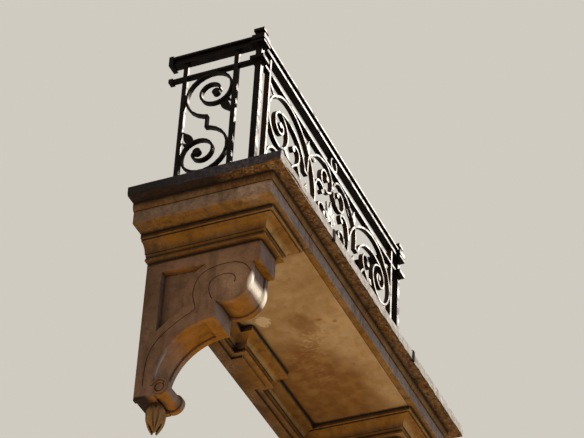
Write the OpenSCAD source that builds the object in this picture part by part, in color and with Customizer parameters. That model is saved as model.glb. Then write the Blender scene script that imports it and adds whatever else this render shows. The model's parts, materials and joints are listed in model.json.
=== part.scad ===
// Wrought iron window balcony: a stone slab with a moulded edge dressed in lead, carried on
// two scrolled stone consoles, and a three-sided wrought iron railing filled with scrollwork.
// Frame: +X along the wall, +Y into the wall, +Z up. The wall face is the plane y = 0, and
// the origin is the middle of the slab's back face. Sizes are in millimetres.

/* [Slab] */
// Length of the slab along the wall, over its lead edge
slab_len = 2370; // [2200:10:2600]
// How far the slab stands out from the wall
slab_depth = 760; // [700:5:820]
// Thickness of the slab, from the lead on top to the soffit
slab_t = 157; // [140:1:180]
// Height of the projecting nosing, with its lead
nosing_h = 50; // [40:1:60]
// How far the nosing stands out beyond the fascia
nosing_out = 76; // [60:1:90]
// Height of the small fillet under the nosing
fillet_h = 18; // [12:1:24]
// Width of the stone strip along the fascia's lower edge
strip_w = 32; // [24:1:40]
// Depth of the groove that parts this strip from the soffit
groove_d = 8; // [5:1:12]
// Width of that groove
groove_w = 7; // [5:1:10]
// Thickness of the lead sheet
lead_t = 4; // [3:0.5:6]
// Height of the lead turned up against the wall
lead_upstand = 75; // [60:5:100]

/* [Consoles] */
// Middle of each console, from the slab's end
console_inset = 335; // [320:5:400]
// Width of a console
console_w = 166; // [150:2:190]
// Depth of the flat pad between the soffit and the mouldings
pad_h = 23; // [18:1:30]
// Size of the hollow moulding under the pad
cove_r = 50; // [40:1:56]
// Height of the rounded cap moulding under the hollow one
cap_h = 44; // [36:1:52]
// How far the cap moulding stands out beyond the console
cap_out = 30; // [24:1:36]
// Height of the square block at the head of a console
block_h = 104; // [90:1:120]
// Distance from the wall to the block's front face
block_reach = 566; // [550:1:600]
// Radius of the large volute
volute_r = 108; // [98:1:116]
// Radius of the small volute at the foot
foot_r = 47; // [40:1:54]
// Radius of the hollow sweep between the two volutes
sweep_r = 270; // [255:1:285]
// Depth of the hollow between a console's raised borders
sink = 9; // [6:1:14]
// Width of the plain border around a sunk panel
border = 24; // [20:1:30]

/* [Railing] */
// Distance from the lead edge to the railing's outer face, on all three sides
rail_setback = 265; // [250:5:300]
// Height of the handrail's top over the lead
rail_h = 1015; // [950:5:1100]
// Height of the moulded handrail
hand_h = 51; // [46:1:60]
// Depth of the moulded handrail's cap
hand_d = 56; // [50:1:64]
// Height of the band between the handrail and the rail under it
frieze_h = 84; // [74:1:100]
// Height of a plain rail
bar_h = 16; // [14:1:20]
// Depth of a plain rail
bar_d = 28; // [26:1:32]
// Gap between the lead and the lowest rail
toe_gap = 126; // [100:2:140]
// Side of a square corner post
post_w = 32; // [28:1:36]
// Width of a front upright, seen from outside
upright_w = 18; // [15:1:22]
// Depth of a front upright
upright_d = 28; // [26:1:32]
// Side of a square upright in a return
return_w = 24; // [20:1:26]
// Clear width between a corner post and the first front upright
bay_front = 76; // [66:2:96]
// Clear width between a corner post and the first upright of a return
bay_side = 90; // [76:2:104]
// Clear width between a return's last upright and the wall
bay_wall = 77; // [60:1:96]
// Thickness of a scroll bar, seen from outside
scroll_w = 11.5; // [10:0.5:14]
// Depth of a scroll bar
scroll_d = 24; // [20:1:26]
// Thickness of the leaves between the scrolls
leaf_t = 8; // [5:1:12]

/* [Hidden] */

$fn = 64;
far = 4000;
eps = 0.01;

// Levels, from the slab's middle plane
top_z = slab_t / 2;
soffit_z = -slab_t / 2;
pad_z = soffit_z - pad_h;
cove_z = pad_z - cove_r;
cap_z = cove_z - cap_h;
block_z = cap_z - block_h;
half_len = slab_len / 2;
fascia_x = half_len - nosing_out;
fascia_y = -slab_depth + nosing_out;

// Levels of the railing, over the lead
hand_z = rail_h - hand_h;
frieze_z = hand_z - frieze_h - bar_h;
base_z = toe_gap;
foot_z = base_z + bar_h + frieze_h;
field_mid = (frieze_z + foot_z + bar_h) / 2;
field_half = (frieze_z - foot_z - bar_h) / 2;

// Plan of the railing
rail_x = half_len - rail_setback;
rail_y = -slab_depth + rail_setback;
post_in_x = rail_x - post_w;
post_in_y = rail_y + post_w;
front_up_x = post_in_x - bay_front - upright_w;
side_up_y1 = post_in_y + bay_side;
side_up_y2 = -bay_wall - return_w;
panel_side = side_up_y2 - side_up_y1 - return_w;
side_mid_y = side_up_y2 - panel_side / 2;

// Lead and the iron straps that hold its front edge
upstand_in = 90;
lead_drop = 1;
strap_w = 18;
strap_t = 4;
strap_top = 70;
strap_under = 9;
stud_r = 8;
stud_h = 9;
strap_x = [-0.485 * half_len, 0.38 * half_len];

// Mouldings under the slab, all drawn from one profile
pad_lip = 11;
cap_step = 10;
cove_lip = 6;
fillet_out = 6;
console_x = half_len - console_inset;
console_half = console_w / 2;
profile_out = cap_out + cove_r;
pad_half = console_half + profile_out + pad_lip;
pad_front = -block_reach - profile_out - pad_lip;
bed_reach = 137;
key_half = 215;
key_out = 58;

// Console, seen from its side
roll_set = 32;
volute_drop = 88;
neck_back = 73;
volute_c = [-block_reach + roll_set + volute_r, block_z - volute_drop];
neck_y = volute_c[0] + neck_back;
sweep_drop = 536;
sweep_c = [neck_y - 5, block_z - sweep_drop];
foot_c = [sweep_c[0] + sweep_r - 35, sweep_c[1] - foot_r];
groove_cut = 5;
groove_line = 4;
recess_end = 44;
panel_sink = 36;
leaf_r = 48;
leaf_h = 150;
leaf_y = -74;

// Railing details
rail_in = 2;
scroll_in = 4;
collar_lip = 20;
collar_h = 20;
neck_lip = 6;
block_lip = 18;
block_top = 3;
head_lip = 12;
head_h = 18;
head_z = rail_h + 30;
button_h = 12;
wall_block = 25;
wall_lip = 4;

// Colours
stone = [0.72, 0.60, 0.44];
stone_pale = [0.78, 0.68, 0.54];
plaster = [0.70, 0.56, 0.38];
lead = [0.62, 0.63, 0.66];
iron = [0.10, 0.10, 0.11];

// A straight bar between two corners
module block(low, high) {
    translate(low)
        cube(high - low);
}

// A profile drawn in Y and Z, run along X from x0 to x1
module along_x(x0, x1) {
    translate([x0, 0, 0])
        rotate([90, 0, 90])
            linear_extrude(x1 - x0)
                children();
}

// A profile drawn in X and Z, run along Y from y0 to y1
module along_y(y0, y1) {
    translate([0, y1, 0])
        rotate([90, 0, 0])
            linear_extrude(y1 - y0)
                children();
}

// Both sides of something modelled on the left
module both() {
    children();
    mirror([1, 0, 0])
        children();
}

// Slab
module nosing() {
    under = top_z - nosing_h;
    color(stone)
        union() {
            block([-half_len + lead_t, -slab_depth + lead_t, under], [half_len - lead_t, 0, top_z - lead_t]);
            block([-fascia_x - fillet_out, fascia_y - fillet_out, under - fillet_h],
                  [fascia_x + fillet_out, 0, under + eps]);
        }
}

module deck_slab() {
    color(stone)
        difference() {
            block([-fascia_x, fascia_y, soffit_z], [fascia_x, 0, top_z - nosing_h - fillet_h]);
            soffit_recess();
        }
}

// The recess in the slab that the soffit panel fills
module soffit_recess() {
    x = console_x - pad_half;
    block([-x, fascia_y + strip_w, soffit_z - 1], [x, -bed_reach, soffit_z + groove_d]);
}

module soffit_panel() {
    x = console_x - pad_half - groove_w;
    y = fascia_y + strip_w + groove_w;
    color(plaster)
        difference() {
            block([-x, y, soffit_z + 1], [x, -bed_reach, soffit_z + groove_d]);
            block([-key_half, -bed_reach - key_out, soffit_z - 1], [key_half, 0, soffit_z + groove_d + 1]);
        }
}

// Sheet lead over the top and down the nosing, turned up against the wall
module lead_sheet() {
    x = half_len - upstand_in;
    color(lead)
        difference() {
            union() {
                block([-half_len, -slab_depth, top_z - nosing_h - lead_drop], [half_len, 0, top_z]);
                block([-x, -lead_t, top_z - eps], [x, 0, top_z + lead_upstand]);
            }
            block([-half_len + lead_t, -slab_depth + lead_t, top_z - nosing_h - 2 * lead_drop],
                  [half_len - lead_t, 1, top_z - lead_t]);
        }
}

// Iron straps hooked over the lead's front edge, with a stud on top
module lead_clips() {
    y = -slab_depth;
    z = top_z - nosing_h - lead_drop;
    color(iron)
        for (x = strap_x) {
            block([x, y - strap_t, z - strap_t], [x + strap_w, y, top_z + strap_t]);
            block([x, y - eps, top_z], [x + strap_w, y + strap_top, top_z + strap_t]);
            block([x, y - eps, z - strap_t], [x + strap_w, y + strap_under, z]);
            translate([x + strap_w / 2, y + strap_w / 2, top_z + strap_t - eps])
                cylinder(r1 = stud_r, r2 = stud_r * 0.7, h = stud_h, $fn = 16);
        }
}

// Console
module pad_at(x) {
    color(stone_pale)
        block([x - pad_half, pad_front, pad_z], [x + pad_half, 0, soffit_z]);
}
module pad_left() { pad_at(-console_x); }
module pad_right() { pad_at(console_x); }

// Half profile of the cove and cap: reach is the console face, side is +1 or -1
module moulding(reach) {
    difference() {
        polygon([[0, cap_z], [reach, cap_z], [reach, cap_z + cap_step], [reach + cap_out, cove_z],
                 [reach + profile_out, cove_z], [reach + profile_out, pad_z], [0, pad_z]]);
        translate([reach + profile_out, cove_z])
            circle(r = cove_r - cove_lip);
    }
    translate([reach, cap_z + cap_step])
        intersection() {
            circle(r = cap_out);
            square([cap_out, cap_out]);
        }
}

module cap_at(x) {
    color(stone_pale)
        intersection() {
            translate([x, 0, 0])
                along_y(-far, 0)
                    both2d()
                        moulding(console_half);
            along_x(-far, far)
                mirror([1, 0])
                    moulding(block_reach);
        }
}
module both2d() {
    children();
    mirror([1, 0])
        children();
}
module cap_left() { cap_at(-console_x); }
module cap_right() { cap_at(console_x); }

// Bed moulding along the wall, broken forward over the middle
module bed_mould() {
    run = console_x - console_half - profile_out - pad_lip;
    reach = bed_reach - profile_out;
    color(stone_pale)
        union() {
            along_x(-run, run)
                mirror([1, 0])
                    bed_profile(reach);
            intersection() {
                along_x(-far, far)
                    mirror([1, 0])
                        bed_profile(reach + key_out);
                along_y(-far, 0)
                    both2d()
                        bed_profile(key_half - profile_out);
            }
        }
}
module bed_profile(reach) {
    moulding(reach);
    square_at([0, pad_z - eps], [reach + profile_out, soffit_z]);
}
module square_at(low, high) {
    translate(low)
        square(high - low);
}

module console_block_at(x) {
    color(stone)
        difference() {
            block([x - console_half, -block_reach, block_z], [x + console_half, 0, cap_z]);
            translate([x, 0, 0])
                side_cuts();
        }
}
module console_block_left() { console_block_at(-console_x); }
module console_block_right() { console_block_at(console_x); }

// Side outline of a console, in Y (towards the wall) and Z
module side_outline(cut) {
    difference() {
        union() {
            square_at([volute_c[0] - volute_r + cut, volute_c[1]], [0, block_z]);
            translate(volute_c)
                circle(r = volute_r - cut);
            square_at([neck_y - 10, sweep_c[1]], [0, block_z]);
            square_at([foot_c[0], foot_c[1] - foot_r + cut], [0, sweep_c[1] + eps]);
            translate(foot_c)
                circle(r = foot_r - cut);
        }
        square_at([-block_reach, block_z], [0, 0]);
        difference() {
            translate(sweep_c)
                circle(r = sweep_r + cut, $fn = 120);
            translate(foot_c)
                circle(r = foot_r - cut);
            translate(volute_c)
                circle(r = volute_r - cut);
        }
    }
}

// The hollow between the raised flanges stops short of the neck
module hollow_outline() {
    side_outline(sink);
    intersection() {
        side_outline(0);
        square_at([neck_y - 10, sweep_c[1]], [neck_y + recess_end, block_z]);
    }
}

module console_at(x) {
    color(stone)
        translate([x, 0, 0])
            difference() {
                union() {
                    along_x(-console_half, -console_half + border)
                        side_outline(0);
                    along_x(console_half - border, console_half)
                        side_outline(0);
                    along_x(-console_half + border - eps, console_half - border + eps)
                        hollow_outline();
                }
                side_cuts();
            }
}
module console_left() { console_at(-console_x); }
module console_right() { console_at(console_x); }

// Deep panel sunk in a console's sides, which runs up into the block, and in Y and Z from the block's foot
panel_edge = [[-300, 42], [-258, 16], [-226, -24], [-206, -74], [-202, -135]];
panel_rest = [[-208, -170], [-77, -277], [-79, 53]];
module side_panel() {
    translate([0, block_z])
        polygon(concat(smooth(panel_edge, 3), panel_rest));
}

// Line that runs up beside the hollow sweep and over the volute, and the curl cut in its disc
band = [[-38, -560], [-40, -487], [-48, -414], [-76, -345], [-130, -287], [-204, -235], [-254, -209], [-264, -188],
        [-254, -153], [-246, -110], [-254, -59], [-271, -24], [-294, -2], [-330, 12], [-368, 20]];
over_volute = [[96, 108], [130, 105], [162, 105]];
eye_turns = [[318, 110], [345, 103], [375, 98], [400, 72], [430, 52], [455, 43], [480, 37], [520, 28], [555, 24]];
foot_eye = 0.4;
module grooves() {
    over = [for (q = curl(volute_c, over_volute)) q - [0, block_z]];
    translate([0, block_z])
        ribbon(smooth(concat(band, over), 3), groove_line);
    ribbon(curl(volute_c, eye_turns), groove_line);
    translate(foot_c)
        difference() {
            circle(r = foot_r * foot_eye + groove_line);
            circle(r = foot_r * foot_eye);
        }
}

// Everything that is cut into the two sides of a console and its block
module side_cuts() {
    both() {
        along_x(console_half - panel_sink, console_half + 1)
            side_panel();
        along_x(console_half - groove_cut, console_half + 1)
            grooves();
    }
}

// Carved bud hanging under a console's foot, with a rim at its neck, cut off at the wall
rim = 8;
rim_at = 0.14;
rim_half = 0.1;
bud_neck = 0.16;
bud_steps = 20;
function bud_r(t) = leaf_r * sin(180 * (bud_neck + (1 - bud_neck) * pow(t, 0.8)));
function rim_r(t) = max(0, rim * (1 - pow((t - rim_at) / rim_half, 2)));
module bud_profile() {
    side = [for (i = [0:bud_steps - 1]) [bud_r(i / bud_steps) + rim_r(i / bud_steps), -leaf_h * i / bud_steps]];
    polygon(concat([[0, 0]], side, [[0, -leaf_h]]));
}
module leaf_drop_at(x) {
    color(stone)
        intersection() {
            translate([x, leaf_y, foot_c[1] - foot_r + sink])
                rotate_extrude($fn = 40)
                    bud_profile();
            block([-far, -far, -far], [far, 0, far]);
        }
}
module leaf_drop_left() { leaf_drop_at(-console_x); }
module leaf_drop_right() { leaf_drop_at(console_x); }

// Paths and ribbons
function unit(v) = v / norm(v);
function turned(v) = [-v[1], v[0]];
function polar(c, r, a) = c + r * [cos(a), sin(a)];
function spiral(c, r0, r1, a0, a1, n) =
    [for (i = [0:n]) polar(c, r0 * pow(r1 / r0, i / n), a0 + (a1 - a0) * i / n)];

// Catmull-Rom curve through a list of points, n steps between two
function blend(a, b, c, d, t) =
    (2 * b + (c - a) * t + (2 * a - 5 * b + 4 * c - d) * t * t + (3 * b - a - 3 * c + d) * t * t * t) / 2;
function smooth(k, n) = let (m = len(k) - 1)
    [for (i = [0:m * n]) let (s = min(floor(i / n), m - 1), t = i / n - s)
        blend(k[max(s - 1, 0)], k[s], k[s + 1], k[min(s + 2, m)], t)];

// A curl around c: its radius follows the turns [angle, radius], one point every few degrees
curl_step = 12;
function curl(c, turns) = let (n = ceil(abs(turns[1][0] - turns[0][0]) / curl_step))
    [for (q = smooth(turns, n)) polar(c, q[1], q[0])];

// A curve through k that runs smoothly into the curl c and stops one step short of it
function lead_in(k, c, n) = let (q = smooth(concat(k, [c[0], c[2]]), n))
    [for (i = [0:len(k) * n - 1]) q[i]];
function reversed(p) = [for (i = [len(p) - 1:-1:0]) p[i]];

// Half the width of a bar at point i of its path, mitred, and thinned over its last points
function half_bar(p, i, w, tail) =
    let (last = len(p) - 1,
         a = unit(p[max(i, 1)] - p[max(i, 1) - 1]),
         b = unit(p[min(i + 1, last)] - p[min(i, last - 1)]),
         n = unit(turned(a + b)),
         thin = tail == 0 ? 1 : min(1, (1 + 2 * (last - i) / tail) / 3))
        n * thin * w / 2 / (n * turned(a));

// A bar along a path, seen flat, w wide
module ribbon(p, w, tail = 0) {
    n = len(p) - 1;
    polygon(concat([for (i = [0:n]) p[i] + half_bar(p, i, w, tail)],
                   [for (i = [n:-1:0]) p[i] - half_bar(p, i, w, tail)]));
}

// A scroll bar along a path, with a solid eye at its end
module scroll(p, r) {
    ribbon(p, scroll_w);
    translate(p[len(p) - 1])
        circle(r = r, $fn = 24);
}

// A pointed leaf from one point to another, w wide at its belly
leaf_steps = 10;
function leaf_edge(i, l, w, s) =
    let (t = i / leaf_steps)
        [l * t, s * w / 2 * pow(sin(180 * pow(t, 0.8)), 1.3)];
module leaf(from, to, w) {
    l = norm(to - from);
    translate(from)
        rotate(atan2(to[1] - from[1], to[0] - from[0]))
            polygon(concat([for (i = [0:leaf_steps]) leaf_edge(i, l, w, 1)],
                           [for (i = [leaf_steps - 1:-1:1]) leaf_edge(i, l, w, -1)]));
}

// Railing, drawn from the lead's level
module rail_frame() {
    translate([0, 0, top_z])
        color(iron)
            children();
}

// A square slice of the post, a lip wider all round, between two heights
module post_slice(lip, low, high) {
    block([-rail_x - lip, rail_y - lip, low], [-post_in_x + lip, post_in_y + lip, high]);
}

// Corner post with a collar at the frieze rail, a moulded block at the handrail and a flat head
module post_solid() {
    collar_z = frieze_z - (collar_h - bar_h) / 2;
    plate_top = hand_z + hand_h * bead_share;
    block_low = hand_z + hand_h * neck_share;
    post_slice(0, 0, head_z);
    post_slice(collar_lip, collar_z, collar_z + collar_h);
    post_slice(collar_lip, hand_z, plate_top);
    post_slice(neck_lip, plate_top - eps, block_low + eps);
    post_slice(block_lip, block_low, rail_h + block_top);
    post_slice(head_lip, head_z - eps, head_z + head_h);
    translate([-rail_x + post_w / 2, rail_y + post_w / 2, head_z + head_h - eps])
        rotate(45)
            cylinder(r1 = post_w * 0.7, r2 = post_w * 0.3, h = button_h, $fn = 4);
}
module post_left() {
    rail_frame()
        post_solid();
}
module post_right() {
    mirror([1, 0, 0])
        post_left();
}

// Moulded handrail: a bead, a fillet, a small step, a hollow and a wide cap
bead_share = 0.27;
neck_share = 0.5;
hand_steps = [[0, bead_share, 0.71], [0.2, 0.36, 0.57], [0.34, 0.53, 0.64],
              [neck_share, 0.8, 0.46], [0.76, 1, 1]];
module hand_profile() {
    translate([post_w / 2, 0])
        for (q = hand_steps)
            square_at([-hand_d * q[2] / 2, hand_h * q[0]], [hand_d * q[2] / 2, hand_h * q[1]]);
}
module handrail_front() {
    rail_frame()
        difference() {
            translate([0, rail_y, hand_z])
                along_x(-post_in_x, post_in_x)
                    hand_profile();
            both()
                post_solid();
        }
}
module handrail_left() {
    rail_frame()
        difference() {
            translate([-rail_x, 0, hand_z])
                along_y(post_in_y, -wall_block)
                    hand_profile();
            post_solid();
        }
}
module handrail_right() {
    mirror([1, 0, 0])
        handrail_left();
}

// Plain rails, halved where the uprights pass in front of them
lap = bar_d / 2;
module front_bar(z) {
    difference() {
        block([-post_in_x, rail_y + rail_in, z], [post_in_x, rail_y + rail_in + bar_d, z + bar_h]);
        front_upright_bars(lap);
    }
}
module side_bar(z) {
    difference() {
        block([-rail_x + rail_in, post_in_y, z], [-rail_x + rail_in + bar_d, -wall_block, z + bar_h]);
        side_upright_bars(lap);
    }
}
module frieze_rail_front() {
    rail_frame()
        difference() {
            front_bar(frieze_z);
            both()
                post_solid();
        }
}
module frieze_rail_left() {
    rail_frame()
        difference() {
            side_bar(frieze_z);
            post_solid();
        }
}
module frieze_rail_right() {
    mirror([1, 0, 0])
        frieze_rail_left();
}
module bottom_rails_front() {
    rail_frame() {
        front_bar(foot_z);
        front_bar(base_z);
    }
}
module bottom_rails_left() {
    rail_frame() {
        side_bar(foot_z);
        side_bar(base_z);
    }
}
module bottom_rails_right() {
    mirror([1, 0, 0])
        bottom_rails_left();
}

module front_upright_bars(depth) {
    y = rail_y + rail_in;
    both()
        block([-front_up_x - upright_w, y, 0], [-front_up_x, y + depth, hand_z]);
}
module side_upright_bars(depth) {
    for (y = [side_up_y1, side_up_y2])
        block([-rail_x + rail_in, y, 0], [-rail_x + rail_in + depth, y + return_w, hand_z]);
}

// The heights at which plain rails pass behind the uprights
module behind(low, high) {
    for (z = [base_z, foot_z, frieze_z])
        block([low[0], low[1], z], [high[0], high[1], z + bar_h]);
}
module uprights_front() {
    rail_frame()
        difference() {
            front_upright_bars(upright_d);
            behind([-far, rail_y + rail_in + lap], [far, 0]);
        }
}
module uprights_left() {
    rail_frame()
        difference() {
            side_upright_bars(return_w);
            behind([-rail_x + rail_in + lap, -far], [0, 0]);
        }
}
module uprights_right() {
    mirror([1, 0, 0])
        uprights_left();
}

// Scrollwork of the front, drawn for a half field of this size and stretched to the real one
drawn = [792, 307];
fit_front = [front_up_x / drawn[0], field_half / drawn[1]];
function fit(p, f) = [for (q = p) [q[0] * f[0], q[1] * f[1]]];
function on_field(q) = [q[0] * fit_front[0], q[1] * fit_front[1]];

// The big sweep: from the lower spiral past the middle of the field, over the top and round the upper one
big_c = [-645, 96];
big_turns = [[115, 159], [150, 148], [184, 139], [220, 131], [262, 121], [305, 103], [359, 90], [406, 82],
             [435, 82], [458, 88]];
sweep = [[-545, -297], [-440, -274], [-340, -222], [-270, -155], [-230, -72], [-215, 0], [-230, 72],
         [-270, 155], [-340, 222], [-440, 278], [-545, 300], [-640, 286]];
low_c = [-663, -186];
low_turns = [[270, 113], [225, 118], [180, 121], [135, 118], [90, 112], [45, 104], [0, 96], [-45, 88],
             [-90, 80], [-135, 72], [-180, 64], [-225, 56], [-270, 48], [-315, 41], [-360, 34], [-420, 26]];
bar_tail = 8;
eye_r = 16;
small_eye = 12;

// The arms that branch off at the square steps: the upper one runs on into the inner spiral
step_x = -330;
step_z = 62;
arm_foot = [[step_x, step_z], [-344, step_z]];
arm = [[-350, 80], [-383, 130], [-448, 178], [-545, 201]];
arm_turns = [[78, 100], [100, 86], [130, 76], [159, 66], [196, 54], [237, 43], [287, 35], [346, 34],
             [386, 34], [416, 28], [450, 15]];
low_arm = [[-350, -80], [-383, -122], [-440, -152], [-505, -154], [-552, -135], [-587, -115]];

// The hooked curl under the arm, with its drop-shaped loop
hook_c = [-456, 76];
hook_turns = [[-15, 41], [30, 42], [75, 41], [120, 39], [160, 33]];
hook_stem = [[-445, 26], [-405, -12], [-389, -55], [-404, -100], [-447, -122], [-490, -100], [-503, -55],
             [-480, -12], [-441, 22], [-420, 50]];

// The curl inside the sweep
inner_curl = [[-221, 36], [-213, 81], [-201, 113], [-175, 136], [-140, 138], [-115, 125], [-112, 104],
              [-128, 98]];

module front_half() {
    big_curl = curl(big_c, big_turns);
    low_curl = reversed(curl(low_c, low_turns));
    last = len(low_curl) - 1;
    rise = smooth(concat([low_curl[last - 2], low_curl[last]], sweep, [big_curl[0], big_curl[2]]), 6);
    middle = [for (i = [7:len(rise) - 8]) rise[i]];
    ribbon(fit(concat(low_curl, middle, big_curl), fit_front), scroll_w, bar_tail);
    translate(on_field(low_curl[0]))
        circle(r = eye_r, $fn = 24);
    arm_curl = curl(big_c, arm_turns);
    scroll(fit(concat(arm_foot, lead_in(arm, arm_curl, 5), arm_curl), fit_front), eye_r);
    ribbon(fit(concat(arm_foot_low(), smooth(low_arm, 5)), fit_front), scroll_w, bar_tail);
    hook = curl(hook_c, hook_turns);
    stem = lead_in(hook_stem, hook, 4);
    ribbon(fit([for (i = [0:24]) stem[i]], fit_front), scroll_w);
    scroll(fit(concat([for (i = [23:len(stem) - 1]) stem[i]], hook), fit_front), eye_r);
    for (s = [1, -1])
        scroll(fit([for (q = smooth(inner_curl, 4)) [q[0], q[1] * s]], fit_front), small_eye);
    collar(collar_at[0], collar_at[1]);
}
function arm_foot_low() = [for (q = arm_foot) [q[0], -q[1]]];

// Leaves of the front's sides, as [root, tip, width]
side_leaves = [[[-704, 236], [-791.5, 287], 26], [[-578, 22], [-478, -6], 34],
               [[-298, 190], [-298, 296], 44]];
module front_leaves() {
    for (q = side_leaves)
        leaf(on_field(q[0]), on_field(q[1]), q[2]);
}

// A collar that clasps the sweep where a leaf springs from it: where, and at what angle
collar_at = [[-712, 240], 40];
module collar(at, angle) {
    translate(on_field(at))
        rotate(angle)
            square([22, scroll_w + 6], center = true);
}

// Middle of the front: four curls that meet the sweeps at a square step
mid_c = [-92, 207];
mid_foot = [[step_x, step_z], [-313, step_z], [-313, 82]];
mid_rise = [[-313, 100], [-311, 140], [-300, 186], [-250, 234], [-188, 279]];
mid_turns = [[93, 92], [45, 86], [0, 84], [-45, 76], [-90, 68], [-135, 62], [-180, 54], [-225, 46],
             [-270, 38], [-330, 28]];
module centre_quarter() {
    mid_curl = curl(mid_c, mid_turns);
    scroll(fit(concat(mid_foot, lead_in(mid_rise, mid_curl, 5), mid_curl), fit_front), eye_r);
}

// The palmette on the axis, with the two curls that spring from its stem
stem_low = -200;
curl_stem = [[0, -78], [-40, -84], [-92, -82], [-140, -62], [-166, -25], [-161, 5], [-136, 25],
             [-106, 22], [-90, 2], [-98, -16]];
palmette_base = [0, -8];
palmette_lobes = [[0, 140, 44], [27, 116, 38], [56, 82, 32], [90, 50, 24]];
centre_leaves = [[[-268, 212], [-196, 236], 32], [[-306, -66], [-306, 16], 44]];
module centre_stem() {
    square_at([-scroll_w / 2, stem_low * fit_front[1]], [scroll_w / 2, 0]);
    both2d()
        scroll(fit(smooth(curl_stem, 4), fit_front), small_eye);
    for (s = [1, -1])
        translate([0, s * mid_c[1] * fit_front[1]])
            square([30, 24], center = true);
}
module palmette() {
    both2d() {
        for (q = palmette_lobes)
            leaf(on_field(palmette_base), on_field(polar(palmette_base, q[1], 90 + q[0])), q[2]);
        for (q = centre_leaves)
            leaf(on_field(q[0]), on_field(q[1]), q[2]);
    }
}

module centre_drawing() {
    both2d() {
        centre_quarter();
        mirror([0, 1])
            centre_quarter();
    }
    centre_stem();
}

// A flat drawing of the front field as a plate of thickness t, in the middle of the bars' depth
module on_front(t = scroll_d) {
    translate([0, rail_y + scroll_in + (scroll_d + t) / 2, field_mid])
        rotate([90, 0, 0])
            linear_extrude(t)
                children();
}

// The front or back half of the bars' depth, for a lap joint
module half_depth(back) {
    translate([0, rail_y + scroll_in + (back ? scroll_d : scroll_d / 2), field_mid])
        rotate([90, 0, 0])
            linear_extrude(scroll_d / 2)
                children();
}

// Side scrolls: where they cross the middle one they are halved at the back, and it at the front
module scroll_left() {
    rail_frame()
        difference() {
            union() {
                on_front()
                    front_half();
                on_front(leaf_t)
                    front_leaves();
            }
            half_depth(true)
                crossing()
                    centre_drawing();
        }
}
cross_at = [-300, 186];
module crossing() {
    intersection() {
        children();
        for (s = [1, -1])
            translate([cross_at[0] * fit_front[0], s * cross_at[1] * fit_front[1]])
                circle(r = 30);
    }
}
module scroll_right() {
    mirror([1, 0, 0])
        scroll_left();
}
module scroll_centre() {
    rail_frame()
        difference() {
            union() {
                on_front()
                    centre_drawing();
                on_front(leaf_t)
                    palmette();
            }
            half_depth(false)
                both2d()
                    crossing()
                        front_half();
        }
}

// Scrollwork of a return: an S of two spirals joined by a square step
side_drawn = [120, 307];
fit_side = [panel_side / 2 / side_drawn[0], field_half / side_drawn[1]];
step_h = 68;
side_eye = 20;
side_c = [-28, 187];
side_turns = [[-81, 155], [-45, 152], [0, 141], [45, 126], [90, 113], [135, 98], [180, 85], [225, 83],
              [270, 80], [315, 76], [360, 69], [405, 57], [450, 42], [495, 34], [540, 28], [593, 14]];
side_buds = [[[-64, 124], [-119.5, 28], 44], [[-82, 138], [-119.5, 96], 20]];
function on_return(q) = [q[0] * fit_side[0], q[1] * fit_side[1]];
module side_half() {
    scroll(fit(curl(side_c, side_turns), fit_side), side_eye);
    half = step_h * fit_side[1] / 2;
    square_at([-scroll_w / 2, -half - scroll_w / 2], [scroll_w / 2, half + scroll_w / 2]);
}
module bud_leaves() {
    for (q = side_buds)
        leaf(on_return(q[0]), on_return(q[1]), q[2]);
}
module on_side(t = scroll_d) {
    translate([-rail_x + rail_in + (scroll_d - t) / 2, side_mid_y, field_mid])
        rotate([90, 0, 90])
            linear_extrude(t)
                children();
}
module scroll_side_left() {
    rail_frame()
        for (a = [0, 180]) {
            on_side()
                rotate(a)
                    side_half();
            on_side(leaf_t)
                rotate(a)
                    bud_leaves();
        }
}
module scroll_side_right() {
    mirror([1, 0, 0])
        scroll_side_left();
}

// Rings in the two friezes
module rings() {
    rail_frame()
        for (z = [foot_z - frieze_h / 2, hand_z - frieze_h / 2])
            translate([0, rail_y + scroll_in, z])
                rotate([-90, 0, 0])
                    difference() {
                        cylinder(r = frieze_h / 2, h = scroll_d);
                        translate([0, 0, -1])
                            cylinder(r = frieze_h / 2 - scroll_w, h = scroll_d + 2);
                    }
}

// Blocks that fix the rails to the wall
module wall_fixings() {
    out = (hand_d - post_w) / 2 + wall_lip;
    rail_frame()
        both() {
            block([-rail_x - out, -wall_block, hand_z - wall_lip], [-post_in_x + out, 0, rail_h + wall_lip]);
            for (z = [frieze_z, foot_z, base_z])
                block([-rail_x + rail_in - wall_lip, -wall_block, z - wall_lip],
                      [-rail_x + rail_in + bar_d + wall_lip, 0, z + bar_h + wall_lip]);
        }
}

deck_slab();
nosing();
soffit_panel();
lead_sheet();
lead_clips();
pad_left();
pad_right();
cap_left();
cap_right();
bed_mould();
console_block_left();
console_block_right();
console_left();
console_right();
leaf_drop_left();
leaf_drop_right();
post_left();
post_right();
handrail_front();
handrail_left();
handrail_right();
frieze_rail_front();
frieze_rail_left();
frieze_rail_right();
bottom_rails_front();
bottom_rails_left();
bottom_rails_right();
uprights_front();
uprights_left();
uprights_right();
scroll_left();
scroll_right();
scroll_centre();
scroll_side_left();
scroll_side_right();
rings();
wall_fixings();
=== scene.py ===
"""A window balcony of carved limestone, sheet lead and wrought iron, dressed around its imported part."""
import json
import math

import bmesh
import bpy
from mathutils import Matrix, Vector, noise


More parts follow.
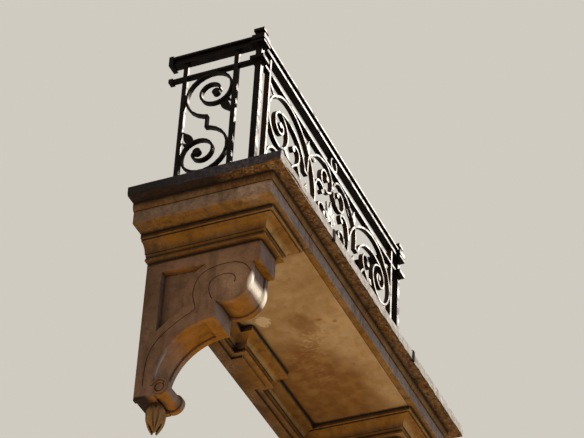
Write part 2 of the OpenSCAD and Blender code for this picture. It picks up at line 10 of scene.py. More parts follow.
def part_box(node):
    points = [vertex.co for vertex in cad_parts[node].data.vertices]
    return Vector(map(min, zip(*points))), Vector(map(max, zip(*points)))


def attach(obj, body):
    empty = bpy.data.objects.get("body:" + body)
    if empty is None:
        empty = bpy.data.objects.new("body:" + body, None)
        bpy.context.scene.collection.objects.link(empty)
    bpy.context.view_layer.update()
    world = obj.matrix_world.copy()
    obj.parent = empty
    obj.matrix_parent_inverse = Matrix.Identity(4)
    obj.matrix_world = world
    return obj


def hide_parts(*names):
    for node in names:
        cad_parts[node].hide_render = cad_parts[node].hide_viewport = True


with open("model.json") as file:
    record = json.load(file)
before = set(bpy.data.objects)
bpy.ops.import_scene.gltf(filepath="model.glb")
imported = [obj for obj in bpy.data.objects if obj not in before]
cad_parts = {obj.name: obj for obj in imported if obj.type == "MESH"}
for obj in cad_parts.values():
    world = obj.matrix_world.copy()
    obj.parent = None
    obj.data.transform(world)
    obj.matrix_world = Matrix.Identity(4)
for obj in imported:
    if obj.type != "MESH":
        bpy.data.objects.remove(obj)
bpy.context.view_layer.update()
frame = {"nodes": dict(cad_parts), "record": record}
MM = 0.001

# Camera: where the photograph was taken from, in metres, how it was held, in degrees, and its lens and
# sensor, in millimetres
CAMERA_AT = (-8.045, -4.084, -6.401)
CAMERA_TURN = (128.667, -2.571, -66.699)
CAMERA_LENS = 139.1
CAMERA_SENSOR = 36.0

# Studio: a floor far below, in metres, and a sun from the front and right, its softness in degrees
FLOOR_Z = -7.4
FLOOR_HALF = 60.0
SUN_FROM = (0.67, -0.36, 0.648)
SUN_STRENGTH = 5.8
SUN_SOFT = 2.0

# Sky: cool from the front and above, with a warm glow from the back and below. The last two are how far
# toward its cool side a direction has to point before the sky begins, and before the glow has gone
SKY_FROM = (0.25, -0.55, 0.8)
SKY_STRENGTH = 0.42
GLOW_STRENGTH = 0.24
SKY_BEGINS = -0.5
GLOW_ENDS = 0.8

# Copies of CAD nodes: how near two vertices are merged, in millimetres, and how flat joined faces lie
MERGE = 0.02
FLAT = math.radians(0.6)

# Edges: the angles from which one is softened and from which one is shaded sharp, and for each kind of
# piece how wide a softened edge is and the narrowest face that gets one, in millimetres
SOFTENED = math.radians(28)
SHARP = math.radians(24)
EDGES = {"stone": (2.5, 2.5), "plaster": (1, 5), "lead": (2.5, 3), "iron": (1.5, 3), "strap": (0.8, 2)}

# Joints between the slab's stones, in millimetres: their places along the front, half their width and
# their depth, and the CAD nodes that have them
JOINTS = (-671, -14, 614)
JOINT_HALF = 2
JOINT_DEEP = 4
JOINTED = ("deck_slab", "nosing")

# Rounded moulding under the nosing, in millimetres and degrees: how far it reaches over the nosing's
# lowest edge, its height, how far it stands out and how far its back is let in. Its lower four fifths are
# rounded, a little fuller than a quarter circle
OVOLO_OVER = 18
OVOLO_TALL = 40
OVOLO_OUT = 13
OVOLO_IN = 3
OVOLO_ROUNDED = 0.8
OVOLO_FULL = 0.8
OVOLO_STEP = 15

# Soffit, in millimetres: how far its panel is floated out over the groove around it, and the level of its
# stains and half their depth
FLOAT_OUT = 5.8
SOFFIT_Z = -78
STAIN_DEEP = 60

# Sheet lead, in millimetres: how finely it is cut along and across the balcony and in height, and the
# depth from its outer faces that holds the sheet. Its lower edge is beaten up in long waves and short
# ripples, its face is dented, less at the fold than at the lower edge, and its top sags
LEAD_CUT = 24
LEAD_CUT_UP = 6
LEAD_SKIN = 6
LEAD_RAISED = 26
LEAD_WAVE = 520
LEAD_RIPPLE = 90
RIPPLE_SHARE = 0.35
LEVEL_SHARE = 0.05
LEAD_DENT = 5
DENT_WIDE = 70
DENT_AT_FOLD = 0.3
LEAD_SAG = 1.5
SAG_WIDE = 60

# Scroll on each end of a console's foot roll, in millimetres and degrees: the roll's middle and radius,
# the outline of the bead, out from the roll's end and across, and the spiral that the bead follows
FOOT_ROLL_Y = -123
FOOT_ROLL_R = 47
SCROLL_BEAD = [(-1, -5), (4, -3.5), (5.5, 0), (4, 3.5), (-1, 5)]
SCROLL_OUTER = 43
SCROLL_EYE = 22
SCROLL_FROM = 20
SCROLL_TURN = 480
SCROLL_STEPS = 48

# Carved drop, in millimetres and degrees: two rows of leaves, the outer one first, around a bud and under
# a collar. A leaf's width and profile are parts of an arch, so it swells from its stem and closes to a
# tip, and its sides hang a little shorter than its middle
LEAVES_IN_ROW = 3
LEAF_ROWS = [
    {"start": 205, "drop": 12, "tall": 134, "reach": 39, "spread": 66, "ridge": 4.5, "rim": 8, "flare": 3},
    {"start": 145, "drop": 4, "tall": 128, "reach": 35, "spread": 62, "ridge": 3.5, "rim": 5, "flare": 6},
]
LEAF_THICK = 3.5
LEAF_CUTS_ACROSS = 16
LEAF_CUTS_ALONG = 14
LEAF_WIDTH = (0.13, 0.96)
LEAF_PROFILE = (0.16, 0.96)
LEAF_VEINS = 5
LEAF_SIDES_SHORTER = 0.04
BUD_WIDE, BUD_TALL = 56, 130
COLLAR_WIDE, COLLAR_TALL, COLLAR_DROP = 66, 28, 12

# Sockets of the Mix node for colours
MIX_A, MIX_B, MIX_OUT = 6, 7, 2


def colour(code):
    """The linear colour of an sRGB hex value."""
    channels = [int(code[i:i + 2], 16) / 255 for i in (1, 3, 5)]
    return [c / 12.92 if c < 0.04045 else ((c + 0.055) / 1.055) ** 2.4 for c in channels] + [1.0]


def add(tree, kind, inputs=None, **settings):
    """Adds one node: settings are its properties, inputs are values or the sockets that feed them."""
    made = tree.nodes.new(kind)
    for key, value in settings.items():
        setattr(made, key, value)
    for key, value in (inputs or {}).items():
        if isinstance(value, bpy.types.NodeSocket):
            tree.links.new(value, made.inputs[key])
        else:
            made.inputs[key].default_value = value
    return made


def new_material(name):
    """An empty node material, its tree and the place on the object, in metres."""
    material = bpy.data.materials.new(name)
    material.use_nodes = True
    material.node_tree.nodes.clear()
    return material, material.node_tree, add(material.node_tree, "ShaderNodeTexCoord").outputs["Object"]


def patches(tree, at, size, low, high, detail=4.0, stretch=(1, 1, 1)):
    """A mask of patches of a size in millimetres: 0 where the noise is under low, 1 where over high."""
    at = add(tree, "ShaderNodeMapping", {"Vector": at, "Scale": stretch}).outputs[0]
    cloud = add(tree, "ShaderNodeTexNoise", {"Vector": at, "Scale": 1 / (size * MM), "Detail": detail})
    return add(tree, "ShaderNodeMapRange", {0: cloud.outputs[0], 1: low, 2: high}).outputs[0]


def facing(tree, direction, start, full):
    """A mask of the surfaces that face a direction, by the cosines where it starts and where it is full."""
    normal = add(tree, "ShaderNodeNewGeometry").outputs["Normal"]
    toward = add(tree, "ShaderNodeVectorMath", {0: normal, 1: direction}, operation="DOT_PRODUCT")
    return add(tree, "ShaderNodeMapRange", {0: toward.outputs["Value"], 1: start, 2: full}).outputs[0]


def shade_in_corners(tree, reach, start, full):
    """A mask of inner corners for painted shade, by a reach in millimetres and the openness where it starts
    and where it is full.
    """
    openness = add(tree, "ShaderNodeAmbientOcclusion", {"Distance": reach * MM}, samples=8).outputs["AO"]
    return add(tree, "ShaderNodeMapRange", {0: openness, 1: start, 2: full}).outputs[0]


def blot(tree, at, middle, half, ragged, soft=0.7):
    """A mask of one blot: its middle and half sizes in millimetres, and how ragged and soft it ends."""
    shift = [-m / h for m, h in zip(middle, half)]
    scale = [1 / (h * MM) for h in half]
    near = add(tree, "ShaderNodeMapping", {"Vector": at, "Location": shift, "Scale": scale}).outputs[0]
    away = add(tree, "ShaderNodeVectorMath", {0: near}, operation="LENGTH").outputs["Value"]
    cloud = add(tree, "ShaderNodeTexNoise", {"Vector": near, "Scale": 2.2, "Detail": 5.0}).outputs[0]
    edge = add(tree, "ShaderNodeMath", {0: cloud, 1: ragged, 2: away}, operation="MULTIPLY_ADD").outputs[0]
    outside = 1 + 0.5 * ragged
    return add(tree, "ShaderNodeMapRange", {0: edge, 1: outside, 2: outside - soft}).outputs[0]


def blots(tree, at, stains, ragged, soft):
    """A layer for each stain: its hex, its strength, and the middle and half sizes of its blot."""
    return [(code, strength, blot(tree, at, middle, half, ragged, soft))
            for code, strength, middle, half in stains]


def soffit_blot(tree, at, x, y, half_x, half_y, ragged, soft=0.7):
    """A blot on the soffit."""
    return blot(tree, at, (x, y, SOFFIT_Z), (half_x, half_y, STAIN_DEEP), ragged, soft)


def layered(tree, base, *layers):
    """Lays colours over a base: each has its hex, its strength and the masks that hold it."""
    for code, strength, *masks in layers:
        for mask in masks:
            strength = add(tree, "ShaderNodeMath", {0: strength, 1: mask}, operation="MULTIPLY").outputs[0]
        mix = {0: strength, MIX_A: base, MIX_B: colour(code)}
        base = add(tree, "ShaderNodeMix", mix, data_type="RGBA").outputs[MIX_OUT]
    return base


def relief(tree, edge, *layers):
    """A bump of soft edges some millimetres wide, and of masks that stand out by their millimetres."""
    normal = add(tree, "ShaderNodeBevel", {"Radius": edge * MM}, samples=4).outputs[0]
    for height, mask in layers:
        bump = {"Distance": height * MM, "Height": mask, "Normal": normal}
        normal = add(tree, "ShaderNodeBump", bump).outputs[0]
    return normal


# Limestone: sawn blocks, rubbed and carved. Matt and chalky. Its hex by the way a face turns is partly its
# own, paler where rain washes it and ochre on its sheltered undersides, and partly painted light: warm
# bounce light on the undersides and the shade that falls on its sides and fronts. Its corners and seams
# are darkened with painted shade in a sooty brown, and painted sunlight and painted shadows can lie over
# its dirt. Its grit, pits and crust are 1 to 4 mm across on the real stone, too fine to show, so they are
# drawn 9 to 18 mm across
def limestone(name, side, front, under, *stains, painted_light_and_shade=(), spots=0.0, runs=0.35, corners=0.65, seams=0.9,
              reach=20):
    """A stone: its hex by where it faces, partly painted light, its stains under the dirt, among them
    painted shade and painted reflections, painted light and shade laid over the dirt, and how strong
    each dirt and the painted shade in corners and seams are.

    The reach is how far the painted shade spreads from a seam, in millimetres.
    """
    material, tree, at = new_material(name)
    soot_and_shade, dust = "#2a1808", "#b89a78"
    # The side, front and under hexes laid by these masks are partly the stone's patina and partly painted
    # light: warm bounce under it and the shade on its sides and fronts
    ahead = facing(tree, (0, -1, 0), 0.6, 0.95)
    down = facing(tree, (0, 0, -1), 0.15, 0.75)
    clouds = patches(tree, at, 240, 0.42, 0.66)
    mottle = patches(tree, at, 42, 0.46, 0.66)
    crust = patches(tree, at, 18, 0.46, 0.64, detail=7.0)
    flecks = patches(tree, at, 12, 0.52, 0.66)
    lichen = patches(tree, at, 13, 0.56, 0.68, detail=5.0)
    grit = patches(tree, at, 9, 0.36, 0.66, detail=2.0)
    pits = patches(tree, at, 16, 0.6, 0.72, detail=3.0)
    drips = patches(tree, at, 48, 0.52, 0.7, stretch=(1, 1, 0.13))
    # Painted shade in a sooty brown: darker in inner corners and along seams
    corner = shade_in_corners(tree, 80, 0.86, 0.3)
    seam = shade_in_corners(tree, reach, 0.92, 0.55)
    tint = layered(tree, colour(side),
                   (under, 1.0, down),
                   (front, 1.0, ahead),
                   *blots(tree, at, stains, 0.5, 0.7),
                   (dust, 0.3, clouds, grit),
                   (soot_and_shade, 0.24, mottle),
                   (dust, spots * 0.5, flecks),
                   (soot_and_shade, runs, drips),
                   ("#120b05", spots, crust),
                   ("#8a6a42", spots * 0.45, lichen),
                   (soot_and_shade, 0.25, pits),
                   (soot_and_shade, 0.2, grit),
                   (soot_and_shade, corners, corner),
                   ("#150c05", seams, seam),
                   # Painted sunlight and painted shadows, laid over the dirt
                   *blots(tree, at, painted_light_and_shade, 0.3, 0.3))
    bump = relief(tree, 3, (0.5, grit), (-0.8, pits))
    bsdf = add(tree, "ShaderNodeBsdfPrincipled", {"Base Color": tint, "Normal": bump, "Roughness": 0.9,
                                                  "Specular IOR Level": 0.25})
    add(tree, "ShaderNodeOutputMaterial", {"Surface": bsdf.outputs[0]})
    return material


# Lime plaster: floated smooth and painted buff. Flat and warm, with damp clouds, scuffs where the paint
# has flaked to a paler coat, and two small rust spots, and with painted shade in its corners and along the
# groove round its panel. Its grit is drawn 6 mm across, coarser than the real 1 mm, so that it shows
def lime_plaster():
    """The soffit's plaster, with each stain where it is on the real one."""
    material, tree, at = new_material("lime_plaster")
    clouds = patches(tree, at, 330, 0.4, 0.62)
    mottle = patches(tree, at, 70, 0.44, 0.68)
    blotches = patches(tree, at, 44, 0.46, 0.62, detail=6.0)
    grit = patches(tree, at, 6, 0.36, 0.66, detail=2.0)
    flakes = patches(tree, at, 18, 0.52, 0.64, detail=6.0, stretch=(1, 0.75, 1))
    scrapes = patches(tree, at, 16, 0.54, 0.7, detail=5.0, stretch=(1, 0.5, 1))
    specks = patches(tree, at, 15, 0.7, 0.76, detail=3.0)
    tint = layered(tree, colour("#ad8d62"),
                   ("#6c3f05", 0.95, soffit_blot(tree, at, 440, -285, 590, 330, 0.7, 0.45)),
                   ("#7c5318", 0.6, clouds),
                   ("#ae8648", 0.3, mottle),
                   ("#845c24", 0.35, blotches),
                   ("#744b18", 0.7, soffit_blot(tree, at, -120, -425, 130, 75, 1.2, 0.5)),
                   ("#cbb088", 0.75, soffit_blot(tree, at, -219, -254, 44, 36, 1.6, 0.15)),
                   ("#c9a371", 0.42, flakes, soffit_blot(tree, at, 18, -407, 130, 90, 0.8)),
                   ("#c9a371", 0.22, scrapes, soffit_blot(tree, at, 150, -340, 330, 170, 0.8)),
                   ("#875200", 0.9, soffit_blot(tree, at, -145, -512, 16, 20, 0.8)),
                   ("#875200", 0.8, soffit_blot(tree, at, -111, -579, 15, 17, 0.8)),
                   ("#5c3d1d", 0.12, grit),
                   ("#3d2408", 0.7, specks),
                   # Painted shade in inner corners, near black close in
                   ("#3d2814", 0.6, shade_in_corners(tree, 60, 0.8, 0.3)),
                   ("#120a04", 0.95, shade_in_corners(tree, 26, 0.8, 0.6)))
    bump = relief(tree, 2, (0.3, grit), (-0.6, flakes))
    bsdf = add(tree, "ShaderNodeBsdfPrincipled", {"Base Color": tint, "Normal": bump, "Roughness": 0.85,
                                                  "Specular IOR Level": 0.3})
    add(tree, "ShaderNodeOutputMaterial", {"Surface": bsdf.outputs[0]})
    return material


# Sheet lead: milled and beaten over the edge. Soft and dented, with brown runs. Its front and top are pale
# and its other faces near black: partly a white bloom on the weather side and a dark oxide skin, partly
# painted sunlight on the front and top and painted shade on the other faces. The bloom's specks are drawn
# 14 mm across, coarser than the real 2 mm, so that they show
def sheet_lead():
    """The lead, with a painted shadow beside the wall on the left."""
    material, tree, at = new_material("sheet_lead")
    ahead = facing(tree, (0, -1, 0), 0.4, 0.8)
    up = facing(tree, (0, 0, 1), 0.5, 0.9)
    mottle = patches(tree, at, 55, 0.38, 0.66, detail=6.0)
    specks = patches(tree, at, 14, 0.42, 0.68)
    drips = patches(tree, at, 26, 0.52, 0.7, stretch=(1, 1, 0.3))
    # The near black base is partly dark skin and partly painted shade; the paler front and top are partly
    # bloom and partly painted sunlight
    tint = layered(tree, colour("#2f292e"),
                   ("#251c1a", 0.6, mottle),
                   ("#77757e", 0.28, specks),
                   ("#8c8882", 0.95, ahead),
                   ("#6f6c68", 0.85, up),
                   ("#4b4845", 0.5, up, mottle),
                   ("#55514c", 0.75, ahead, mottle),
                   ("#433e39", 0.7, ahead, drips),
                   ("#d6d3cd", 0.4, ahead, specks),
                   # A painted shadow beside the wall at the left end
                   ("#0e0705", 0.95, blot(tree, at, (-1185, -40, 50), (80, 470, 90), 0.5)))
    bump = relief(tree, 2, (2.0, mottle), (0.5, specks))
    bsdf = add(tree, "ShaderNodeBsdfPrincipled", {"Base Color": tint, "Normal": bump, "Roughness": 0.8,
                                                  "Specular IOR Level": 0.3})
    add(tree, "ShaderNodeOutputMaterial", {"Surface": bsdf.outputs[0]})
    return material


# Wrought iron: hammered bars under many coats of black oil paint. Near black with rust, its sides that face
# left painted a brown hex: painted warm bounce light, with rust patches on it. A broken gloss catches the
# sun along its edges. The hammer's marks are drawn 26 to 95 mm long, coarser than the real 10 to 20 mm, so
# that the gloss breaks up in the render
def painted_iron(name, shade, marks_long, marks_deep):
    """A painted iron: the hex of painted bounce light on its sides that face left, and its hammer
    marks, in millimetres.
    """
    material, tree, at = new_material(name)
    rust = patches(tree, at, 38, 0.5, 0.68)
    flecks = patches(tree, at, 9, 0.52, 0.66)
    marks = patches(tree, at, marks_long, 0.3, 0.7, detail=1.0)
    coats = patches(tree, at, 22, 0.3, 0.7, detail=2.0)
    side = facing(tree, (-1, 0, 0), 0.4, 0.9)
    tint = layered(tree, colour("#080505"),
                   # Painted warm bounce light on the sides that face left
                   (shade, 0.75, side),
                   ("#241610", 0.6, side, rust),
                   ("#3b2213", 0.35, rust, flecks))
    rough = add(tree, "ShaderNodeMapRange", {0: rust, 3: 0.46, 4: 0.6}).outputs[0]
    bump = relief(tree, 1.5, (marks_deep, marks), (0.35, coats), (0.1, flecks))
    bsdf = add(tree, "ShaderNodeBsdfPrincipled", {"Base Color": tint, "Normal": bump, "Roughness": rough,
                                                  "Specular IOR Level": 0.06})
    add(tree, "ShaderNodeOutputMaterial", {"Surface": bsdf.outputs[0]})
    return material


# Rusted iron: old straps with no paint left. Matt and brown-black
def rusted_iron():
    """The iron of the lead's straps."""
    material, tree, at = new_material("rusted_iron")
    bloom = patches(tree, at, 18, 0.4, 0.66)
    tint = layered(tree, colour("#0d0806"), ("#26150c", 0.7, bloom))
    bump = relief(tree, 1, (0.4, bloom))
    bsdf = add(tree, "ShaderNodeBsdfPrincipled", {"Base Color": tint, "Normal": bump, "Roughness": 0.95,
                                                  "Specular IOR Level": 0.1})
    add(tree, "ShaderNodeOutputMaterial", {"Surface": bsdf.outputs[0]})
    return material


def pale_floor():
    """A plain pale floor."""
    material, tree, _ = new_material("pale_floor")
    bsdf = add(tree, "ShaderNodeBsdfPrincipled", {"Base Color": colour("#c9c2b6"), "Roughness": 0.9})
    add(tree, "ShaderNodeOutputMaterial", {"Surface": bsdf.outputs[0]})
    return material


def merged_copy(node):
    """A bmesh copy of a CAD node, its triangles merged and its flat faces joined."""
    mesh = bmesh.new()
    mesh.from_mesh(frame["nodes"][node].data)
    bmesh.ops.remove_doubles(mesh, verts=mesh.verts, dist=MERGE * MM)
    bmesh.ops.dissolve_limit(mesh, angle_limit=FLAT, verts=mesh.verts, edges=mesh.edges)
    return mesh


def breadth(face):
    """About how wide a long face is."""
    return 2 * face.calc_area() / face.calc_perimeter()


def soften(mesh, width, narrow):
    """Rounds the outer edges, apart from those of faces narrower than narrow. In millimetres."""
    edges = [edge for edge in mesh.edges
             if len(edge.link_faces) == 2 and edge.is_convex and edge.calc_face_angle() > SOFTENED
             and min(breadth(face) for face in edge.link_faces) > narrow * MM]
    bmesh.ops.bevel(mesh, geom=edges, offset=width * MM, offset_type="OFFSET", segments=2, profile=0.5,
                    affect="EDGES", clamp_overlap=True, material=-1)


def finish(name, mesh, material, slot, *nodes):
    """Makes a bmesh a piece: smooth between its sharp edges, riding on the root, in place of its nodes."""
    data = bpy.data.meshes.new(name)
    mesh.to_mesh(data)
    mesh.free()
    data.shade_smooth()
    data.set_sharp_from_angle(angle=SHARP)
    data.materials.append(material)
    piece = bpy.data.objects.new(name, data)
    bpy.context.scene.collection.objects.link(piece)
    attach(piece, "root")
    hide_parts(*nodes)


def cut_at(mesh, point, normal):
    """Cuts the faces of a mesh along a plane."""
    geometry = mesh.verts[:] + mesh.edges[:] + mesh.faces[:]
    bmesh.ops.bisect_plane(mesh, geom=geometry, plane_co=point, plane_no=normal)


def cut_joints(mesh):
    """Cuts the joints between stones: three cuts side by side, the middle one pushed in."""
    for place in JOINTS:
        for aside in (-JOINT_HALF, 0, JOINT_HALF):
            cut_at(mesh, ((place + aside) * MM, 0, 0), (1, 0, 0))
    mesh.normal_update()
    for vert in mesh.verts:
        if min(abs(vert.co.x / MM - place) for place in JOINTS) < MERGE:
            vert.co -= vert.normal * JOINT_DEEP * MM


def dressed(node, material, slot, edge, jointed=False):
    """A CAD node with its edges softened and, if it is jointed, its joints cut."""
    mesh = merged_copy(node)
    soften(mesh, *EDGES[edge])
    if jointed:
        cut_joints(mesh)
    finish("dressed_" + node, mesh, material, slot, node)


def floated_panel():
    """The plaster panel, floated out until only a fine line parts it from the stone strip around it."""
    mesh = merged_copy("soffit_panel")
    low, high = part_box("soffit_panel")
    for vert in mesh.verts:
        if abs(vert.co.y - low.y) < MERGE * MM:
            vert.co.y -= FLOAT_OUT * MM
        if high.x - abs(vert.co.x) < MERGE * MM:
            vert.co.x += math.copysign(FLOAT_OUT * MM, vert.co.x)
    soften(mesh, *EDGES["plaster"])
    finish("floated_soffit_panel", mesh, PLASTER, "plaster", "soffit_panel")


def run(mesh, sections):
    """Makes a solid bar through closed sections, each a list of places in metres."""
    loops = []
    for section in sections:
        verts = [mesh.verts.new(place) for place in section]
        loops.append([mesh.edges.new((a, b)) for a, b in zip(verts, verts[1:] + verts[:1])])
    for near, far in zip(loops, loops[1:]):
        bmesh.ops.bridge_loops(mesh, edges=near + far)
    for end in (loops[0], loops[-1]):
        bmesh.ops.contextual_create(mesh, geom=end)
    bmesh.ops.recalc_face_normals(mesh, faces=mesh.faces)


def slab_section(outline, side, at_wall):
    """A moulding's outline on the slab's left or right: at the wall, or where it turns the corner."""
    low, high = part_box("deck_slab")
    return [Vector((side * (high.x + out * MM), 0 if at_wall else low.y - out * MM, up * MM))
            for out, up in outline]


def bed_ovolo():
    """The rounded moulding that fills the corner between the nosing and the fascia."""
    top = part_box("nosing")[0].z / MM + OVOLO_OVER
    low = top - OVOLO_TALL
    curve = []
    for degrees in range(0, 91, OVOLO_STEP):
        turn = math.radians(degrees)
        curve.append((OVOLO_OUT * math.sin(turn) ** OVOLO_FULL,
                      low + OVOLO_TALL * OVOLO_ROUNDED * (1 - math.cos(turn))))
    outline = [(-OVOLO_IN, low)] + curve + [(OVOLO_OUT, top), (-OVOLO_IN, top)]
    around = ((-1, True), (-1, False), (1, False), (1, True))
    mesh = bmesh.new()
    run(mesh, [slab_section(outline, side, at_wall) for side, at_wall in around])
    cut_joints(mesh)
    finish("bed_ovolo", mesh, STONES["ovolo"], "stone")


def scroll_section(face, side, middle_z, step):
    """The bead's outline at one step of its way in to the eye, on a roll's left or right end."""
    share = step / SCROLL_STEPS
    angle = math.radians(SCROLL_FROM + SCROLL_TURN * share)
    radius = SCROLL_OUTER + (SCROLL_EYE - SCROLL_OUTER) * share
    section = []
    for out, across in SCROLL_BEAD:
        reach = (radius + across) * MM
        y = FOOT_ROLL_Y * MM + reach * math.cos(angle)
        z = middle_z + reach * math.sin(angle)
        section.append(Vector((face + side * out * MM, y, z)))
    return section


def foot_scroll(node):
    """The small scroll carved on both ends of a console's foot roll."""
    low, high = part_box(node)
    middle_z = low.z + FOOT_ROLL_R * MM
    mesh = bmesh.new()
    for side, face in ((-1, low.x), (1, high.x)):
        run(mesh, [scroll_section(face, side, middle_z, i) for i in range(SCROLL_STEPS + 1)])
    finish("foot_scroll_" + node, mesh, STONES["console"], "stone")


def wave(x, y, z, size, seed):
    """A smooth value between -1 and 1 that changes over some millimetres. Each seed gives another wave."""
    return noise.noise(Vector((x, y, z)) / (size * MM) + Vector((seed, 0, 0)))


def cut_across(mesh, axis, step):
    """Cuts a mesh into strips a step of millimetres wide along one axis."""
    places = [vert.co[axis] for vert in mesh.verts]
    normal = [float(i == axis) for i in range(3)]
    for i in range(1, int((max(places) - min(places)) / (step * MM))):
        cut_at(mesh, [n * (min(places) + i * step * MM) for n in normal], normal)


def beaten_lead():
    """The lead sheet with its lower edge beaten up unevenly, dents in its face and a slight sag on top."""
    mesh = merged_copy("lead_sheet")
    soften(mesh, *EDGES["lead"])
    low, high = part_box("lead_sheet")
    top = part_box("nosing")[1].z
    cut_across(mesh, 0, LEAD_CUT)
    cut_across(mesh, 1, LEAD_CUT)
    cut_across(mesh, 2, LEAD_CUT_UP)
    for vert in mesh.verts:
        x, y, z = vert.co
        down = min(max((top - z) / (top - low.z), 0), 1)
        beaten = wave(x, y, 0, LEAD_WAVE, 3) + RIPPLE_SHARE * wave(x, y, 0, LEAD_RIPPLE, 5)
        dent = LEAD_DENT * abs(wave(x, y, z, DENT_WIDE, 9)) * (DENT_AT_FOLD + down) * MM
        vert.co.z += down * LEAD_RAISED * max(0, beaten - LEVEL_SHARE) * MM
        if z < top:
            vert.co.y += dent * (y < low.y + LEAD_SKIN * MM)
            vert.co.x -= math.copysign(dent, x) * (abs(x) > high.x - LEAD_SKIN * MM)
        elif z < top + LEAD_SKIN * MM:
            vert.co.z -= LEAD_SAG * MM * abs(wave(x, y, 0, SAG_WIDE, 1))
    finish("beaten_lead_sheet", mesh, LEAD, "lead", "lead_sheet")


def arch(share, start, end):
    """The height of an arch at a share of the way from start to end, with its feet at 0 and 1."""
    return math.sin(math.pi * (start + (end - start) * share))


def husk_leaf(mesh, top, azimuth, leaf):
    """One cupped leaf: ridged along its veins, with a rim at its sides and a flare at its pointed tip."""
    grid = bmesh.ops.create_grid(mesh, x_segments=LEAF_CUTS_ACROSS, y_segments=LEAF_CUTS_ALONG, size=0.5)
    for vert in grid["verts"]:
        across, along = 2 * vert.co.x, vert.co.y + 0.5
        aside = abs(across)
        bulge = leaf["reach"] * arch(along ** 0.8, *LEAF_PROFILE)
        ridges = leaf["ridge"] * math.cos(LEAF_VEINS * math.pi * across) * (1 - aside) * arch(along, 0, 1)
        rim = leaf["rim"] * aside ** 4 * (1 - along ** 3) + leaf["flare"] * along ** 5
        reach = (bulge + ridges + rim) * MM
        angle = math.radians(azimuth + across * leaf["spread"] * arch(along, *LEAF_WIDTH) ** 0.5)
        drop = leaf["tall"] * along * (1 - LEAF_SIDES_SHORTER * aside) * MM
        vert.co = top + Vector((reach * math.cos(angle), reach * math.sin(angle), -drop))


def below(place, drop):
    """A place some millimetres below another."""
    return place - Vector((0, 0, drop * MM))


def ball(mesh, middle, wide, tall, rings):
    """A ball stretched to its width and height, in millimetres."""
    verts = bmesh.ops.create_uvsphere(mesh, u_segments=24, v_segments=rings, radius=0.5)["verts"]
    bmesh.ops.scale(mesh, vec=(wide * MM, wide * MM, tall * MM), verts=verts)
    bmesh.ops.translate(mesh, vec=middle, verts=verts)


def husk(node):
    """A carved drop: overlapping leaves around a bud, under a turned collar."""
    low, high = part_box(node)
    top = Vector(((low.x + high.x) / 2, (low.y + high.y) / 2, high.z))
    mesh = bmesh.new()
    for leaf in LEAF_ROWS:
        for i in range(LEAVES_IN_ROW):
            husk_leaf(mesh, below(top, leaf["drop"]), leaf["start"] + i * 360 / LEAVES_IN_ROW, leaf)
    bmesh.ops.recalc_face_normals(mesh, faces=mesh.faces)
    bmesh.ops.solidify(mesh, geom=mesh.faces[:], thickness=-LEAF_THICK * MM)
    # Solidify turns a shell inside out when its thickness is below zero
    bmesh.ops.reverse_faces(mesh, faces=mesh.faces)
    ball(mesh, below(top, BUD_TALL / 2), BUD_WIDE, BUD_TALL, 14)
    ball(mesh, below(top, COLLAR_DROP), COLLAR_WIDE, COLLAR_TALL, 10)
    finish("carved_" + node, mesh, STONES["drop"], "stone", node)


def make_camera():
    """A camera where the photograph was taken from."""
    data = bpy.data.cameras.new("camera")
    data.lens = CAMERA_LENS
    data.sensor_width = CAMERA_SENSOR
    camera = bpy.data.objects.new("camera", data)
    bpy.context.scene.collection.objects.link(camera)
    camera.location = CAMERA_AT
    camera.rotation_euler = [math.radians(angle) for angle in CAMERA_TURN]
    bpy.context.scene.camera = camera


def make_sun():
    """A sun with slightly soft shadows."""
    data = bpy.data.lights.new("sun", "SUN")
    data.energy = SUN_STRENGTH
    data.angle = math.radians(SUN_SOFT)
    data.color = colour("#fff4e6")[:3]
    sun = bpy.data.objects.new("sun", data)
    bpy.context.scene.collection.objects.link(sun)
    sun.rotation_euler = Vector(SUN_FROM).to_track_quat("Z", "Y").to_euler()


def make_floor():
    """A wide floor under the balcony and the camera."""
    bpy.ops.mesh.primitive_plane_add(size=2 * FLOOR_HALF, location=(0, 0, FLOOR_Z))
    floor = bpy.context.object
    floor.name = "floor"
    floor.data.materials.append(pale_floor())


def make_sky():
    """A soft sky that lights the object, and a plain backdrop that the camera and reflections see."""
    world = bpy.data.worlds.new("studio")
    world.use_nodes = True
    tree = world.node_tree
    tree.nodes.clear()
    toward = add(tree, "ShaderNodeTexCoord").outputs["Generated"]
    height = add(tree, "ShaderNodeVectorMath", {0: toward, 1: SKY_FROM}, operation="DOT_PRODUCT")
    high = add(tree, "ShaderNodeMapRange", {0: height.outputs["Value"], 1: SKY_BEGINS, 2: GLOW_ENDS})
    sky = add(tree, "ShaderNodeBackground", {"Color": colour("#dfe6f4"), "Strength": SKY_STRENGTH})
    glow = add(tree, "ShaderNodeBackground", {"Color": colour("#f4dcc0"), "Strength": GLOW_STRENGTH})
    light = add(tree, "ShaderNodeMixShader", {0: high.outputs[0], 1: glow.outputs[0], 2: sky.outputs[0]})
    shown = add(tree, "ShaderNodeBackground", {"Color": colour("#d0cbc1"), "Strength": 1.0})
    path = add(tree, "ShaderNodeLightPath").outputs
    seen = path["Is Camera Ray"]
    for ray in ("Is Glossy Ray", "Is Transmission Ray"):
        seen = add(tree, "ShaderNodeMath", {0: seen, 1: path[ray]}, operation="MAXIMUM").outputs[0]
    both = add(tree, "ShaderNodeMixShader", {0: seen, 1: light.outputs[0], 2: shown.outputs[0]})
    add(tree, "ShaderNodeOutputWorld", {"Surface": both.outputs[0]})
    bpy.context.scene.world = world


make_camera()
make_sun()
make_floor()
make_sky()
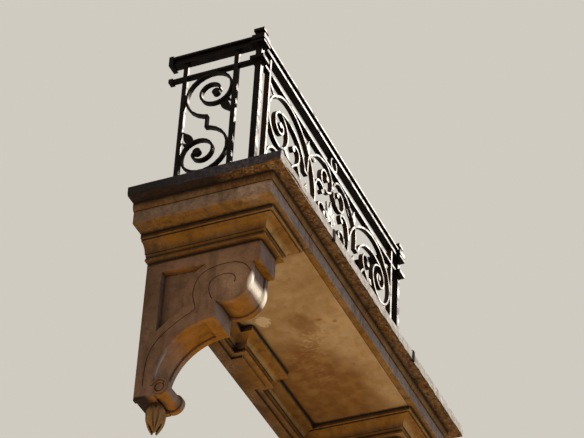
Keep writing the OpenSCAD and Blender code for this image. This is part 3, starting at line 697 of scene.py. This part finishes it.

# Stones: each one's name, its hex on the sides, the front and the underside, which is partly painted light,
# and its stains, some of them painted light and shade. A stain has a hex, its strength, and the middle and
# half sizes of its blot, in millimetres
# A painted shade that darkens the stone near the wall
SHADE_BY_THE_WALL = ("#2a1606", 0.8, (0, 40, -300), (2000, 215, 900))
STONES = {
    # The nosing's painted shadow, laid over its dirt, darkens its left end beside the wall
    "nosing": limestone("crusted_limestone", "#573714", "#a8937a", "#6e4712",
                        painted_light_and_shade=[("#190b03", 0.92, (-1150, -60, 28), (110, 500, 60))], spots=0.7, runs=0.2),
    "slab": limestone("fascia_limestone", "#8a705d", "#8e8686", "#855813",
                      ("#bb9d84", 0.9, (-1110, -590, -30), (80, 130, 70)), SHADE_BY_THE_WALL,
                      spots=0.25, seams=0.8),
    "moulding": limestone("moulding_limestone", "#6a4820", "#ab8850", "#8a5b14", SHADE_BY_THE_WALL,
                          seams=1.0, reach=34),
    "ovolo": limestone("rubbed_limestone", "#664521", "#7a5b2f", "#70491a", spots=0.25, reach=30),
    "console": limestone("carved_limestone", "#85644c", "#7c6c66", "#8f5a06",
                         ("#a58266", 0.9, (-930, -426, -388), (60, 125, 125)),
                         ("#8f5a06", 0.75, (-850, -150, -760), (74, 100, 130)),
                         ("#8f5a06", 0.75, (850, -150, -760), (74, 100, 130)),
                         # Two pale grey strips on the left console's sweep: a painted reflection of the sky
                         ("#b4afad", 0.8, (-913, -90, -720), (12, 50, 120)),
                         ("#b4afad", 0.8, (-775, -138, -858), (16, 40, 40)), SHADE_BY_THE_WALL,
                         # Laid over the dirt: a painted pool of sunlight across each roll's front, and a
                         # painted shadow under each foot, beside the wall
                         painted_light_and_shade=[("#fbf1e2", 1.0, (0, -545, -420), (2000, 40, 84)),
                                 ("#0d0703", 0.92, (0, -20, -934), (2000, 80, 30))],
                         corners=0.35, seams=0.5, reach=9),
    "drop": limestone("sheltered_limestone", "#94703f", "#94744c", "#8f5a06", corners=0.9, seams=0.95),
}
STONE_OF = {"deck_slab": "slab", "nosing": "nosing", "bed_mould": "moulding", "pad_left": "moulding",
            "pad_right": "moulding", "cap_left": "moulding", "cap_right": "moulding",
            "console_block_left": "console", "console_block_right": "console",
            "console_left": "console", "console_right": "console"}
PLASTER = lime_plaster()
LEAD = sheet_lead()

# Irons: the railing's front, with rust-brown sides that are painted bounce light, its returns and posts,
# which are darker, and the leafy middle of its front, whose sides carry a paler painted bounce light
FRONT_IRON = painted_iron("painted_iron_in_sun", "#3c291c", 95, 4.0)
SIDE_IRON = painted_iron("painted_iron_in_shade", "#120c0a", 95, 4.0)
LEAF_IRON = painted_iron("painted_iron_leaves", "#4a382d", 26, 3.0)
FRONT_NODES = ("handrail_front", "frieze_rail_front", "bottom_rails_front", "uprights_front",
               "scroll_left", "scroll_right", "rings")
IRON_OF = dict.fromkeys(FRONT_NODES, FRONT_IRON) | {"scroll_centre": LEAF_IRON}
SLOTS = {row["node"]: row["material_slot"] for row in frame["record"]["subparts"]}

for node, stone in STONE_OF.items():
    dressed(node, STONES[stone], "stone", "stone", node in JOINTED)
floated_panel()
foot_scroll("console_left")
foot_scroll("console_right")
beaten_lead()
husk("leaf_drop_left")
husk("leaf_drop_right")
bed_ovolo()
dressed("lead_clips", rusted_iron(), "iron", "strap")
for node, slot in SLOTS.items():
    if slot == "iron" and node != "lead_clips":
        dressed(node, IRON_OF.get(node, SIDE_IRON), "iron", "iron")

bpy.context.scene.view_settings.view_transform = "Standard"
